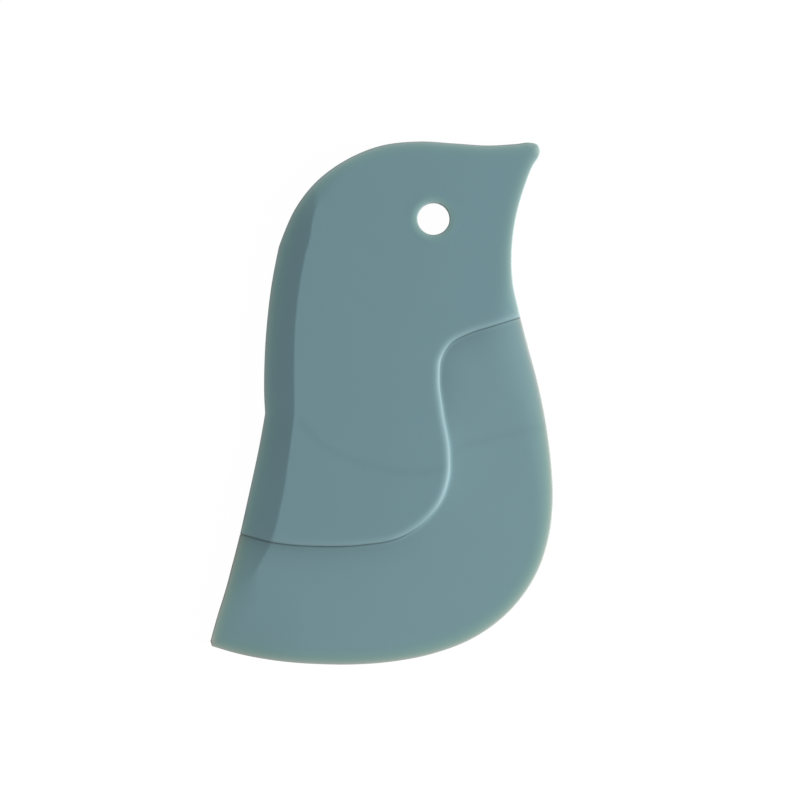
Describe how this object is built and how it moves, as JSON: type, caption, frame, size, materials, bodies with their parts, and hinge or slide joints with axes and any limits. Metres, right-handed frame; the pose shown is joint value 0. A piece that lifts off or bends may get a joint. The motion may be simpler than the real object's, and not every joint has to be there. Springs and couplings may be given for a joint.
{
  "type": "bowl scraper",
  "caption": "Flat hand scraper in the outline of a small bird, with a raised grip, a thin curved scraping blade and a hang hole at the head.",
  "frame": {"origin": "middle of the footprint, on the rear face that the scraper lies on", "axes": "+Z out of the upper face through the thickness, +Y from the tail towards the head, +X towards the beak and the belly"},
  "size_m": [0.0852, 0.13, 0.006],
  "materials": {
    "nylon_core": "matte",
    "grip_silicone": "satin",
    "blade_silicone": "satin"
  },
  "bodies": {
    "root": {"core_plate": "nylon_core", "grip_body": "grip_silicone", "belly_blade": "blade_silicone"}
  },
  "joints": []
}
